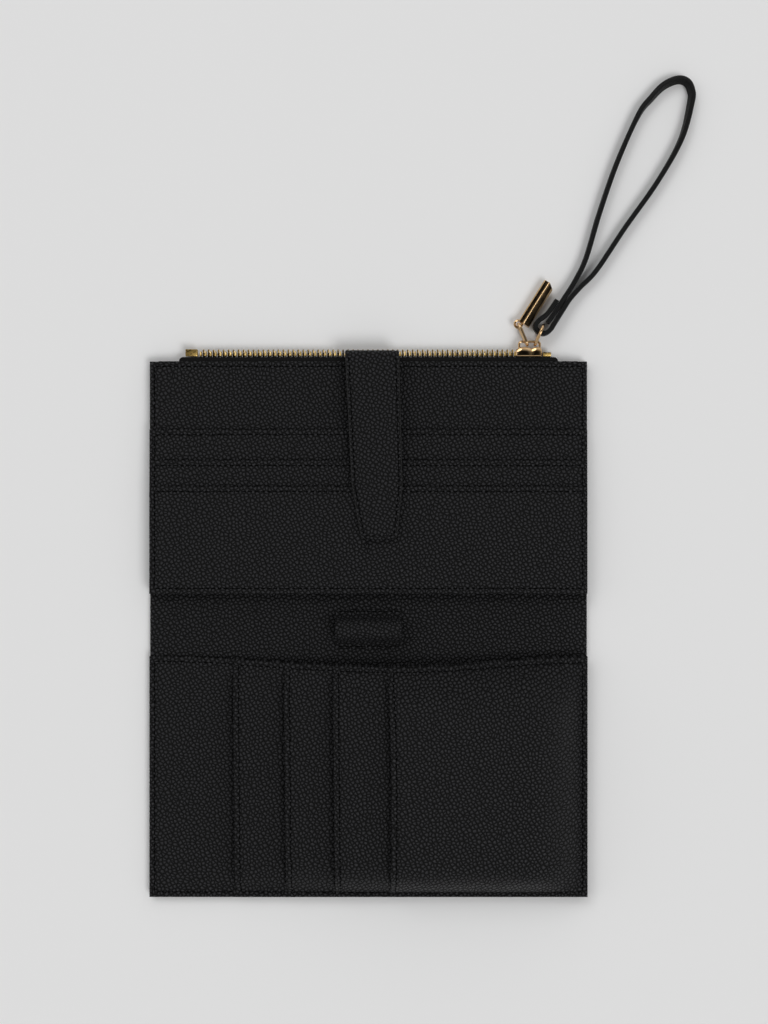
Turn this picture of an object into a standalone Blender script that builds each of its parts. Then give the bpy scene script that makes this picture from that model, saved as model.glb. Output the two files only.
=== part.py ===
"""Family passport holder, lying open on its back: two leather panels joined by a folding spine.

The lower panel carries a ticket pocket and four staggered passport pockets, the spine a pen loop, and
the upper panel a zipped pouch, six card slots and a closing tab. The zip's slider carries a puller bar
and a wrist strap. Metres, +Z up, +X to the right, +Y towards the zip. The origin is the middle of the
spine on the surface that the holder lies on.
"""

from math import acos, asin, cos, pi, radians, sin, tan

import bmesh
import bpy
from mathutils import Vector

# ---------------------------------------------------------------- driving dimensions

GAP = 0.0003  # left between pieces that touch
HALF_WIDTH = 0.110  # of the open holder, along X
FOLD_LOW = -0.0157  # hinge line between the lower panel and the spine, along Y
FOLD_HIGH = 0.0153  # hinge line between the spine and the upper panel
FOLD_GAP = 0.00015  # each panel stops this far from its hinge line
BOTTOM_EDGE = -0.1370  # lower panel's free edge
TOP_EDGE = 0.1320  # upper panel's free edge, which holds the zip
CORNER = 0.0015  # radius of the leather's corners

COVER = 0.0012  # outer leather
BOARD = 0.0006  # stiffener
FACING = 0.0006  # inner leather, pocket walls and tab faces
LINING = 0.0004  # pouch fabric and zip tape
BOARD_Z = COVER + GAP
FACING_Z = BOARD_Z + BOARD + GAP
FOLD_Z = FACING_Z + FACING  # the inner face, where both hinge lines lie

# Lower panel: the ticket pocket and the passport pockets, in their loaded shape
TICKET_GAP = 0.0008
PASSPORT_GAP = 0.00415  # a passport is 125 x 88 x 4 mm at most
POCKET_LIPS = (-0.0670, -0.0412, -0.0168, 0.0103)  # the pockets open to -X
PASSPORT_LOW, PASSPORT_HIGH = -0.1235, -0.0340  # flat part of each pocket, along Y
PASSPORT_RIGHT = 0.0925  # flat part's right end
TICKET_INSET = 0.0100  # the ticket pocket's wall is at its full height from here inwards
SEAM_INSET = 0.0030  # stitch line from a leather edge
MOUTH_SAG = 0.0046  # how far the loaded pockets pull the ticket pocket's mouth down
MOUTH_LIFT = 0.0025  # and how far they raise it
MOUTH_X = 0.0150  # where it sags most

# Upper panel: pouch, card slots and tab
POUCH_DEPTH = 0.0018
POUCH_HALF_WIDTH = 0.104
POUCH_TOP = 0.1200
CARD_GAP = 0.00085  # a card is 0.76 mm thick
CARD_EDGES = (0.0977, 0.0822, 0.0692)
CARD_RAMP = 0.0060  # over which a slot opens from its seam
TAB_X_TOP, TAB_X_TIP = 0.00185, 0.0054  # the tab lies a little askew
TAB_HALF_TOP, TAB_HALF_NECKED, TAB_HALF_TIP = 0.0135, 0.0127, 0.0090
TAB_NECKED_Y, TAB_TIP_Y = 0.0700, 0.0429
TAB_BEND_Y = 0.1369  # outermost point of the tab where it turns back
TAB_BRIDGE = 0.0270  # stretch that spans the closed holder's edge
TAB_ROOT_Z = 0.0067
TAB_Z = 0.0106  # underside of the tab on the card slots
TAB_FACE = 0.0015
MAGNET_RADIUS, MAGNET_THICK = 0.0060, 0.0008
TAB_MAGNET_Y = 0.0520

# Zip, along the upper panel's free edge
TAPE_HALF_LENGTH = 0.0950
TAPE_Y = (0.1203, 0.1342)
CHAIN_Z = 0.0037
TOOTH_Y = (0.1345, 0.1381)
TOOTH_PITCH = 0.0025
TOOTH_WIDTH, TOOTH_THICK, TOOTH_LEAN = 0.0009, 0.0013, radians(17)
TOOTH_COUNT = 69
TOOTH_FIRST_X = -0.0840
SLIDER_X = (0.0739, 0.0869)
SLIDER_WALL = 0.0007
CROWN_Y = 0.1420  # centre of the crown's top bar
CROWN_RADIUS = 0.0006
BOTTOM_STOP_X = (-0.0917, -0.0857)
TOP_STOP_X = (0.0874, 0.0916)

LINK_RADIUS = 0.00065
LINK_NEAR = 0.0019  # centreline radius of a link's end on the crown
PULLER_LINK = dict(near=(0.0790, 0.1421), aim=(-0.390, 0.921), far_radius=0.0026, length=0.0070)
STRAP_LINK = dict(near=(0.0843, 0.1421), aim=(0.378, 0.926), far_radius=0.0036, length=0.0052)
LINK_REST = 0.0001  # a link's lowest point above the surface

PULLER_AIM = (0.537, 0.844)
PULLER_LENGTH, PULLER_WIDTH, PULLER_HEIGHT = 0.0231, 0.0062, 0.0048
PULLER_START = (0.0030, 0.0004)  # of the bar, from its eye
EYE_RADIUS, EYE_HOLE, EYE_THICK = 0.0024, 0.00125, 0.0014

STRAP_WIDTH, STRAP_THICK = 0.0046, 0.0025
STRAP_HIGH_Z, STRAP_LOW_Z = 0.0042, 0.0024  # strap's middle at its link, and where it lies
# The strap's middle line from its inner end round the loop, through the link and back to its outer end
STRAP_ROUTE = (
    (0.0920, 0.1545), (0.0939, 0.1570), (0.0984, 0.1641), (0.1037, 0.1724), (0.1093, 0.1839),
    (0.1161, 0.2067), (0.1248, 0.2317), (0.1356, 0.2559), (0.1423, 0.2647), (0.1484, 0.2708),
    (0.1552, 0.2738), (0.1599, 0.2728), (0.1622, 0.2687), (0.1622, 0.2627), (0.1572, 0.2438),
    (0.1451, 0.2222), (0.1289, 0.1993), (0.1148, 0.1782), (0.1071, 0.1692), (0.1016, 0.1627),
    (0.0971, 0.1563), (0.0938, 0.1513), (0.0910, 0.1477), (0.0879, 0.1460), (0.0848, 0.1473),
    (0.0837, 0.1498), (0.0855, 0.1525), (0.0890, 0.1557), (0.0918, 0.1594), (0.0943, 0.1630),
)
STRAP_JOINED = 0.0300  # distance from the link over which the strap comes down to the surface

PEN_LOOP_HALF = 0.0165
PEN_Y = -0.0025
PEN_RADIUS, PEN_WALL = 0.0050, 0.0007
PEN_SIDE = 0.0035  # straight side below the loop's round top
PEN_FLANGE = (-0.0118, 0.0075)


# ---------------------------------------------------------------- scene and materials

def clear_scene():
    for item in list(bpy.data.objects):
        bpy.data.objects.remove(item, do_unlink=True)


def make_material(name, colour, roughness, metallic=0.0):
    material = bpy.data.materials.new(name)
    material.use_nodes = True
    shader = material.node_tree.nodes["Principled BSDF"]
    shader.inputs["Base Color"].default_value = (*colour, 1.0)
    shader.inputs["Roughness"].default_value = roughness
    shader.inputs["Metallic"].default_value = metallic
    return material


def body_empty(name, place, parent=None):
    """An empty on a moving body's joint axis; the body's pieces are parented to it."""
    empty = bpy.data.objects.new(name, None)
    bpy.context.collection.objects.link(empty)
    empty.parent = parent
    base = parent.matrix_world.translation if parent else Vector()
    empty.location = Vector(place) - base
    bpy.context.view_layer.update()
    return empty


def add_mesh(name, mesh, material, parent):
    """An object whose mesh is given in world coordinates, with its origin on its parent's axis."""
    item = bpy.data.objects.new(name, mesh)
    bpy.context.collection.objects.link(item)
    if parent:
        item.parent = parent
        shift = -parent.matrix_world.translation
        for vertex in mesh.vertices:
            vertex.co += shift
    mesh.materials.append(material)
    return item


def finish_mesh(name, bm, material, parent, smooth=False):
    bmesh.ops.recalc_face_normals(bm, faces=bm.faces)
    mesh = bpy.data.meshes.new(name)
    bm.to_mesh(mesh)
    bm.free()
    if smooth:
        mesh.shade_smooth()
        mesh.set_sharp_from_angle(angle=radians(40))
    return add_mesh(name, mesh, material, parent)


# ---------------------------------------------------------------- outlines and solids

def rounded_box(x0, x1, y0, y1, radius=CORNER, steps=4):
    """A rectangle with round corners, counter-clockwise."""
    points = []
    corners = ((x1, y1, 0), (x0, y1, 1), (x0, y0, 2), (x1, y0, 3))
    for x, y, quarter in corners:
        cx = x - radius if x == x1 else x + radius
        cy = y - radius if y == y1 else y + radius
        for step in range(steps + 1):
            angle = (quarter + step / steps) * pi / 2
            points.append((cx + radius * cos(angle), cy + radius * sin(angle)))
    return points


def slab(name, outline, low, high, material, parent):
    """A flat piece: an outline in plan, extruded from one height to another."""
    bm = bmesh.new()
    face = bm.faces.new([bm.verts.new((x, y, low)) for x, y in outline])
    grown = bmesh.ops.extrude_face_region(bm, geom=[face])["geom"]
    top = [v for v in grown if isinstance(v, bmesh.types.BMVert)]
    bmesh.ops.translate(bm, vec=(0, 0, high - low), verts=top)
    return finish_mesh(name, bm, material, parent)


def bar(name, profile, x0, x1, material, parent, smooth=False):
    """A piece of constant section: an outline in the YZ plane, extruded along X."""
    bm = bmesh.new()
    face = bm.faces.new([bm.verts.new((x0, y, z)) for y, z in profile])
    grown = bmesh.ops.extrude_face_region(bm, geom=[face])["geom"]
    far = [v for v in grown if isinstance(v, bmesh.types.BMVert)]
    bmesh.ops.translate(bm, vec=(x1 - x0, 0, 0), verts=far)
    return finish_mesh(name, bm, material, parent, smooth)


def sheet(name, stations, rows, underside, thick, material, parent):
    """A leather sheet: a grid of x stations by y rows, whose underside has a height at each point."""
    bm = bmesh.new()
    grid = []
    for row in rows:
        line = []
        for x in stations:
            y = row(x)
            line.append(bm.verts.new((x, y, underside(x, y))))
        grid.append(line)
    for low, high in zip(grid, grid[1:]):
        for i in range(len(stations) - 1):
            bm.faces.new((low[i], low[i + 1], high[i + 1], high[i]))
    grown = bmesh.ops.extrude_face_region(bm, geom=list(bm.faces))["geom"]
    top = [v for v in grown if isinstance(v, bmesh.types.BMVert)]
    bmesh.ops.translate(bm, vec=(0, 0, thick), verts=top)
    return finish_mesh(name, bm, material, parent)


def disc(name, centre, radius, low, high, material, parent, sides=32):
    outline = [
        (centre[0] + radius * cos(2 * pi * i / sides), centre[1] + radius * sin(2 * pi * i / sides))
        for i in range(sides)
    ]
    return slab(name, outline, low, high, material, parent)


def wire(name, points, radius, material, parent, cyclic):
    """A round wire along points, made from a bevelled curve."""
    curve = bpy.data.curves.new(name + "_path", "CURVE")
    curve.dimensions = "3D"
    curve.bevel_depth = radius
    curve.bevel_resolution = 2
    curve.use_fill_caps = not cyclic
    spline = curve.splines.new("POLY")
    spline.points.add(len(points) - 1)
    for place, point in zip(points, spline.points):
        point.co = (*place, 1.0)
    spline.use_cyclic_u = cyclic
    holder = bpy.data.objects.new(name + "_path", curve)
    bpy.context.collection.objects.link(holder)
    mesh = bpy.data.meshes.new_from_object(holder.evaluated_get(bpy.context.evaluated_depsgraph_get()))
    bpy.data.objects.remove(holder)
    mesh.shade_smooth()
    mesh.materials.clear()
    return add_mesh(name, mesh, material, parent)


def merge_in(target, tool, operation="UNION"):
    """Join a helper solid to a piece, or cut it away; the helper itself isn't a piece."""
    modifier = target.modifiers.new(operation.lower(), "BOOLEAN")
    modifier.operation = operation
    modifier.solver = "EXACT"
    modifier.object = tool
    tool.hide_render = True
    tool.display_type = "WIRE"


def smooth_route(points, steps):
    """Points along a smooth curve through the given ones (Catmull-Rom)."""
    ends = [2 * Vector(points[0]) - Vector(points[1]), 2 * Vector(points[-1]) - Vector(points[-2])]
    track = [ends[0], *(Vector(p) for p in points), ends[1]]
    out = []
    for a, b, c, d in zip(track, track[1:], track[2:], track[3:]):
        for step in range(steps):
            t = step / steps
            out.append(0.5 * (2 * b + t * (c - a) + t * t * (2 * a - 5 * b + 4 * c - d)
                              + t ** 3 * (3 * b - a - 3 * c + d)))
    return [*out, Vector(points[-1])]


# ---------------------------------------------------------------- pockets

def ramp(value, low, high):
    """0 at low, 1 at high, straight between."""
    return min(1.0, max(0.0, (value - low) / (high - low)))


def mouth_bulge(x):
    """How much of the ticket mouth's full sag and lift there is at x."""
    reach = HALF_WIDTH + MOUTH_X if x < MOUTH_X else HALF_WIDTH - MOUTH_X
    return cos(pi / 2 * (x - MOUTH_X) / reach) ** 2


def mouth_y(x):
    return FOLD_LOW - FOLD_GAP - MOUTH_SAG * mouth_bulge(x)


def ticket_underside(x, y):
    """The ticket pocket's wall: sewn to the facing at the sides and bottom, raised at its mouth."""
    inside = ramp(HALF_WIDTH - abs(x), SEAM_INSET, TICKET_INSET) \
        * ramp(y, BOTTOM_EDGE + SEAM_INSET, BOTTOM_EDGE + TICKET_INSET)
    raised = mouth_bulge(x) * ramp(y, PASSPORT_HIGH, mouth_y(x) - SEAM_INSET)
    return FOLD_Z + GAP + (TICKET_GAP - GAP) * inside + MOUTH_LIFT * raised


def pocket_open(x, y):
    """1 over a passport, 0 at the seams along the top, bottom and right."""
    across = 1 - ramp(x, PASSPORT_RIGHT, HALF_WIDTH - 0.0055)
    top = ramp(mouth_y(x) - SEAM_INSET - y, 0.0, mouth_y(x) - SEAM_INSET - PASSPORT_HIGH)
    bottom = ramp(y, BOTTOM_EDGE + 0.0040, PASSPORT_LOW)
    return across * min(top, bottom)


def pocket_underside(index):
    """The underside of passport pocket wall number index, counted from 1."""
    def height(x, y):
        seam = ticket_underside(x, y) + FACING + index * GAP + (index - 1) * FACING
        flat = FOLD_Z + TICKET_GAP + index * (FACING + PASSPORT_GAP)
        part = pocket_open(x, y)
        return seam * (1 - part) + flat * part
    return height


def card_underside(index):
    """The underside of card tier number index, counted from 1: sewn at the sides, bottom and middle."""
    base = FOLD_Z + POUCH_DEPTH + 0.0011

    def height(x, y):
        sides = ramp(HALF_WIDTH - abs(x), SEAM_INSET, SEAM_INSET + CARD_RAMP)
        middle = ramp(abs(x), 0.0010, 0.0010 + CARD_RAMP)
        bottom = ramp(y, FOLD_HIGH + SEAM_INSET, FOLD_HIGH + SEAM_INSET + CARD_RAMP)
        part = min(sides, middle, bottom)
        return base + index * GAP + (index - 1) * FACING + index * (CARD_GAP - GAP) * part
    return height


def mouth_stations(left):
    """x stations from a lip to the right edge, close enough for the mouth's curve."""
    breaks = {left, PASSPORT_RIGHT, HALF_WIDTH - TICKET_INSET, HALF_WIDTH - 0.0055,
              HALF_WIDTH - SEAM_INSET, HALF_WIDTH}
    inner = {x / 1000 for x in range(-100, 100, 20) if left + 0.006 < x / 1000 < PASSPORT_RIGHT - 0.004}
    return sorted(breaks | inner)


# ---------------------------------------------------------------- bodies

def build_lower_panel(leather, board, steel):
    top = FOLD_LOW - FOLD_GAP
    slab("cover_lower", rounded_box(-HALF_WIDTH, HALF_WIDTH, BOTTOM_EDGE, top), 0, COVER, leather, None)
    stiffener = slab("board_lower", rounded_box(-0.104, 0.104, BOTTOM_EDGE + 0.005, top - 0.004),
                     BOARD_Z, BOARD_Z + BOARD, board, None)
    # the closing tab's magnet comes to rest here when the holder is shut
    catch = (TAB_X_TIP - 0.0004, FOLD_LOW + FOLD_HIGH - TAB_MAGNET_Y - TAB_BRIDGE)
    merge_in(stiffener, disc("catch_hole", catch, 0.0080, 0, 0.004, board, None), "DIFFERENCE")
    disc("catch_plate", catch, 0.0075, BOARD_Z, BOARD_Z + BOARD, steel, None)
    slab("facing_lower", rounded_box(-HALF_WIDTH + 0.0005, HALF_WIDTH - 0.0005, BOTTOM_EDGE + 0.0003, top),
         FACING_Z, FOLD_Z, leather, None)

    rows = [
        lambda x: BOTTOM_EDGE + 0.0002,
        lambda x: BOTTOM_EDGE + 0.0040,
        lambda x: BOTTOM_EDGE + TICKET_INSET,
        lambda x: PASSPORT_HIGH,
        lambda x: mouth_y(x) - SEAM_INSET,
        mouth_y,
    ]
    sides = [-HALF_WIDTH, -HALF_WIDTH + SEAM_INSET, -HALF_WIDTH + TICKET_INSET]
    stations = sorted({*sides, *(x / 1000 for x in range(-80, 100, 20)), *(-x for x in sides)})
    sheet("ticket_pocket", stations, rows, ticket_underside, FACING, leather, None)

    rows = [
        lambda x: BOTTOM_EDGE,
        lambda x: BOTTOM_EDGE + 0.0040,
        lambda x: BOTTOM_EDGE + TICKET_INSET,
        lambda x: PASSPORT_LOW,
        lambda x: PASSPORT_HIGH,
        lambda x: mouth_y(x) - SEAM_INSET,
        lambda x: mouth_y(x) - 0.0004,
    ]
    for number, lip in enumerate(POCKET_LIPS, 1):
        sheet(f"passport_pocket_{number}", mouth_stations(lip), rows, pocket_underside(number), FACING,
              leather, None)


def pen_loop_profile():
    """An omega in the YZ plane: flanges on the facing, straight sides and a round top."""
    floor = FOLD_Z + GAP
    outer, inner = PEN_RADIUS + PEN_WALL, PEN_RADIUS
    arc = [pi * i / 12 for i in range(13)]
    centre = floor + PEN_SIDE
    points = [(PEN_FLANGE[1], floor), (PEN_FLANGE[1], floor + PEN_WALL), (PEN_Y + outer, floor + PEN_WALL)]
    points += [(PEN_Y + outer * cos(a), centre + outer * sin(a)) for a in arc]
    points += [(PEN_Y - outer, floor + PEN_WALL), (PEN_FLANGE[0], floor + PEN_WALL), (PEN_FLANGE[0], floor)]
    points += [(PEN_Y - inner, floor)]
    points += [(PEN_Y - inner * cos(a), centre + inner * sin(a)) for a in arc]
    points += [(PEN_Y + inner, floor)]
    return points


def build_spine(body, leather, board):
    low, high = FOLD_LOW + FOLD_GAP, FOLD_HIGH - FOLD_GAP
    slab("cover_spine", rounded_box(-HALF_WIDTH + 0.0008, HALF_WIDTH - 0.0008, low, high), 0, COVER,
         leather, body)
    slab("board_spine", rounded_box(-0.104, 0.104, low + 0.003, high - 0.003), BOARD_Z, BOARD_Z + BOARD,
         board, body)
    slab("facing_spine", rounded_box(-HALF_WIDTH + 0.0012, HALF_WIDTH - 0.0012, low, high), FACING_Z,
         FOLD_Z, leather, body)
    bar("pen_loop", pen_loop_profile(), -PEN_LOOP_HALF, PEN_LOOP_HALF, leather, body)


def build_upper_panel(body, leather, board, fabric):
    low = FOLD_HIGH + FOLD_GAP
    slab("cover_upper", rounded_box(-HALF_WIDTH, HALF_WIDTH, low, TOP_EDGE), 0, COVER, leather, body)
    slab("board_upper", rounded_box(-0.104, 0.104, low + 0.004, TOP_EDGE - 0.005), BOARD_Z,
         BOARD_Z + BOARD, board, body)

    # the pouch: a flat fabric bag, open along the zip
    floor = FACING_Z
    ceiling = floor + 2 * LINING + POUCH_DEPTH
    pouch = slab("pouch_lining", rounded_box(-POUCH_HALF_WIDTH, POUCH_HALF_WIDTH, low + 0.003, POUCH_TOP),
                 floor, ceiling, fabric, body)
    hollow = slab("pouch_hollow", rounded_box(-POUCH_HALF_WIDTH + LINING, POUCH_HALF_WIDTH - LINING,
                                              low + 0.003 + LINING, POUCH_TOP + 0.010),
                  floor + LINING, ceiling - LINING, fabric, body)
    merge_in(pouch, hollow, "DIFFERENCE")

    slab("card_backing", rounded_box(-HALF_WIDTH + 0.0003, HALF_WIDTH - 0.0003, low, TOP_EDGE),
         ceiling + GAP, ceiling + GAP + FACING, leather, body)
    half = HALF_WIDTH - 0.0004
    stations = [0.0, 0.0010, 0.0010 + CARD_RAMP, half - SEAM_INSET - CARD_RAMP, half - SEAM_INSET, half]
    stations = sorted({*stations, *(-x for x in stations)})
    seam = low + SEAM_INSET
    for number, edge in enumerate(CARD_EDGES, 1):
        rows = [lambda x: low, lambda x: seam, lambda x: seam + CARD_RAMP, lambda x, edge=edge: edge]
        sheet(f"card_tier_{number}", stations, rows, card_underside(number), FACING, leather, body)


def tooth_row(sign):
    """A comb outline: teeth standing on the cord that the tape's edge is clamped on."""
    root, tip = TOOTH_Y
    back = root + 0.0008
    points = [(TOP_STOP_X[0] - GAP, root), (TOP_STOP_X[0] - GAP, back)]
    shift = TOOTH_PITCH / 2 if sign < 0 else 0.0
    for i in reversed(range(TOOTH_COUNT if sign > 0 else TOOTH_COUNT - 1)):
        x = TOOTH_FIRST_X + i * TOOTH_PITCH + shift
        half, head = TOOTH_WIDTH / 2, TOOTH_WIDTH * 0.32
        points += [(x + half, back), (x + half, tip - 0.0006), (x + head, tip), (x - head, tip),
                   (x - half, tip - 0.0006), (x - half, back)]
    left = BOTTOM_STOP_X[1] + GAP
    return [*points, (left, back), (left, root)]


def build_zip(body, fabric, brass):
    for side, floor, sign in (("front", FACING_Z + LINING + POUCH_DEPTH, 1), ("back", FACING_Z, -1)):
        slab(f"zip_tape_{side}", rounded_box(-TAPE_HALF_LENGTH, TAPE_HALF_LENGTH, *TAPE_Y, 0.0022),
             floor, floor + LINING, fabric, body)
        row = slab(f"zip_teeth_{side}", tooth_row(sign), -TOOTH_THICK / 2, TOOTH_THICK / 2, brass, body)
        offset = Vector((0, -TOOTH_Y[1], 0)) + body.matrix_world.translation
        for vertex in row.data.vertices:  # lean the row down to meet the other at its teeth's heads
            y, z = vertex.co.y + offset.y, vertex.co.z + offset.z
            vertex.co.y = TOOTH_Y[1] + y * cos(TOOTH_LEAN) + sign * z * sin(TOOTH_LEAN)
            vertex.co.z = CHAIN_Z - sign * y * sin(TOOTH_LEAN) + z * cos(TOOTH_LEAN)
            vertex.co -= body.matrix_world.translation
    slab("zip_bottom_stop", rounded_box(*BOTTOM_STOP_X, TOOTH_Y[0] + 0.0001, TOOTH_Y[1], 0.0006),
         0.0019, 0.0055, brass, body)
    for side, low, high in (("front", 0.0039, 0.0054), ("back", 0.0020, 0.0035)):
        slab(f"zip_top_stop_{side}", rounded_box(*TOP_STOP_X, TOOTH_Y[0], TOOTH_Y[0] + 0.0021, 0.0004),
             low, high, brass, body)


def build_slider(body, gold):
    """A channel that rides on both rows of teeth, with the crown arch on its outer plate."""
    inner, outer = TOOTH_Y[0] + 0.0001, TOOTH_Y[1] + 0.0011
    low, high = 0.0010, 0.0064
    profile = [
        (inner, low), (outer, low), (outer, high), (inner, high),
        (inner, high - SLIDER_WALL), (outer - 0.0008, high - SLIDER_WALL),
        (outer - 0.0008, low + SLIDER_WALL), (inner, low + SLIDER_WALL),
    ]
    slider = bar("slider_body", profile, *SLIDER_X, gold, body)
    middle = (SLIDER_X[0] + SLIDER_X[1]) / 2 + 0.0004
    half, turn, foot = 0.0052, 0.0008, outer - 0.0004
    quarter = [pi / 2 * i / 4 for i in range(5)]
    right = [(half - turn + turn * cos(a), CROWN_Y - turn + turn * sin(a)) for a in quarter]
    outline = [(half, foot), *right, *((-x, y) for x, y in reversed(right)), (-half, foot)]
    arch = [(middle + x, y, CHAIN_Z) for x, y in outline]
    merge_in(slider, wire("crown_arch", arch, CROWN_RADIUS, gold, body, cyclic=False))


def link_points(near, aim, far_radius, length):
    """A pear-shaped link standing on edge: a small end on the crown, a wide end resting low."""
    direction = Vector((*aim, 0)).normalized()
    start = Vector((*near, CHAIN_Z))
    end = start + direction * length
    end.z = far_radius + LINK_RADIUS + LINK_REST
    along = (end - start).normalized()
    up = (Vector((0, 0, 1)) - along * along.z).normalized()
    spread = asin((far_radius - LINK_NEAR) / (end - start).length)
    near_arc = [pi / 2 + spread + (pi - 2 * spread) * i / 8 for i in range(9)]
    far_arc = [-pi / 2 - spread + (pi + 2 * spread) * i / 12 for i in range(13)]
    return [start + LINK_NEAR * (cos(a) * along + sin(a) * up) for a in near_arc] + \
        [end + far_radius * (cos(a) * along + sin(a) * up) for a in far_arc]


def far_wire(link):
    """The middle of a link's wide end wire, in plan."""
    direction = Vector(link["aim"]).normalized()
    return Vector(link["near"]) + direction * (link["length"] + link["far_radius"])


def build_puller(body, gold, eye):
    """A faceted bar with a flat eye at its near end."""
    aim = Vector(PULLER_AIM).normalized()
    side = Vector((aim.y, -aim.x))
    start = eye + Vector(PULLER_START)
    half = PULLER_WIDTH / 2
    low, high = 0.0003, 0.0003 + PULLER_HEIGHT
    section = [(-half, low), (half, low), (half, low + 0.0022), (0.0006, high), (-half, low + 0.0026)]
    bm = bmesh.new()
    face = bm.faces.new([bm.verts.new((*(start + side * s), z)) for s, z in section])
    grown = bmesh.ops.extrude_face_region(bm, geom=[face])["geom"]
    far = [v for v in grown if isinstance(v, bmesh.types.BMVert)]
    for vertex in far:  # the far end is cut on a slant
        across = (Vector(vertex.co.xy) - start).dot(side)
        reach = PULLER_LENGTH - 0.0022 * ramp(across, 0.0, half)
        vertex.co.xy = vertex.co.xy + aim * reach
    puller = finish_mesh("puller_bar", bm, gold, body)
    centre_z = PULLER_LINK["far_radius"] + LINK_RADIUS + LINK_REST
    low, high = centre_z - EYE_THICK / 2, centre_z + EYE_THICK / 2
    merge_in(puller, disc("puller_eye", eye, EYE_RADIUS, low, high, gold, body, 24))
    merge_in(puller, disc("puller_hole", eye, EYE_HOLE, low - 0.001, high + 0.001, gold, body, 16),
             "DIFFERENCE")


def build_strap(body, leather):
    """One leather strip on edge: a loop, taken through its link and sewn back on itself."""
    link = far_wire(STRAP_LINK)
    route = smooth_route([(*p, 0) for p in STRAP_ROUTE], 4)
    bm = bmesh.new()
    columns = []
    for point in route:
        away = (point.xy - link).length
        middle = STRAP_HIGH_Z + (STRAP_LOW_Z - STRAP_HIGH_Z) * ramp(away, 0.006, STRAP_JOINED)
        columns.append([bm.verts.new((point.x, point.y, middle + s * STRAP_WIDTH / 2)) for s in (-1, 1)])
    for a, b in zip(columns, columns[1:]):
        bm.faces.new((a[0], b[0], b[1], a[1]))
    mesh = bpy.data.meshes.new("wrist_strap")
    bm.to_mesh(mesh)
    bm.free()
    strap = add_mesh("wrist_strap", mesh, leather, body)
    solid = strap.modifiers.new("thickness", "SOLIDIFY")
    solid.thickness = STRAP_THICK
    solid.offset = 0
    solid.use_even_offset = True


def tab_half(y):
    """Half the tab's width at y."""
    if y >= TAB_NECKED_Y:
        return TAB_HALF_NECKED + (TAB_HALF_TOP - TAB_HALF_NECKED) * ramp(y, TAB_NECKED_Y, TAB_BEND_Y)
    return TAB_HALF_TIP + (TAB_HALF_NECKED - TAB_HALF_TIP) * ramp(y, TAB_TIP_Y, TAB_NECKED_Y)


def tab_middle(y):
    return TAB_X_TIP + (TAB_X_TOP - TAB_X_TIP) * ramp(y, TAB_TIP_Y, TAB_BEND_Y)


def tab_outline(rows):
    """The tab's outline between the first and last of the given y values, counter-clockwise."""
    right = [(tab_middle(y) + tab_half(y), y) for y in rows]
    left = [(tab_middle(y) - tab_half(y), y) for y in reversed(rows)]
    return right + left


def build_tab(root, neck, bridge, tip, leather, steel):
    """The closing tab: sewn on at the zip, turned back over the cards, and cut at its bends."""
    wall = 0.0008
    slab("tab_root", tab_outline([0.112, TAB_BEND_Y - 0.0013]), TAB_ROOT_Z, TAB_ROOT_Z + wall, leather, root)
    slab("tab_neck", tab_outline([TAB_BEND_Y - 0.0010, TAB_BEND_Y]), TAB_ROOT_Z, TAB_Z - GAP, leather, neck)
    split = TAB_BEND_Y - TAB_BRIDGE
    spans = (("bridge", [split + FOLD_GAP, TAB_BEND_Y], bridge),
             ("tip", [TAB_TIP_Y, TAB_NECKED_Y, split - FOLD_GAP], tip))
    for name, rows, body in spans:
        outline = tab_outline(rows)
        slab(f"tab_{name}_lining", outline, TAB_Z, TAB_Z + FACING, leather, body)
        face = slab(f"tab_{name}_face", outline, TAB_Z + FACING + GAP, TAB_Z + FACING + GAP + TAB_FACE,
                    leather, body)
    centre = (tab_middle(TAB_MAGNET_Y), TAB_MAGNET_Y)
    floor = TAB_Z + FACING + GAP
    pocket = disc("magnet_recess", centre, MAGNET_RADIUS + GAP, floor - 0.001,
                  floor + MAGNET_THICK + GAP, steel, tip)
    merge_in(face, pocket, "DIFFERENCE")
    disc("tab_magnet", centre, MAGNET_RADIUS, floor, floor + MAGNET_THICK, steel, tip)


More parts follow.
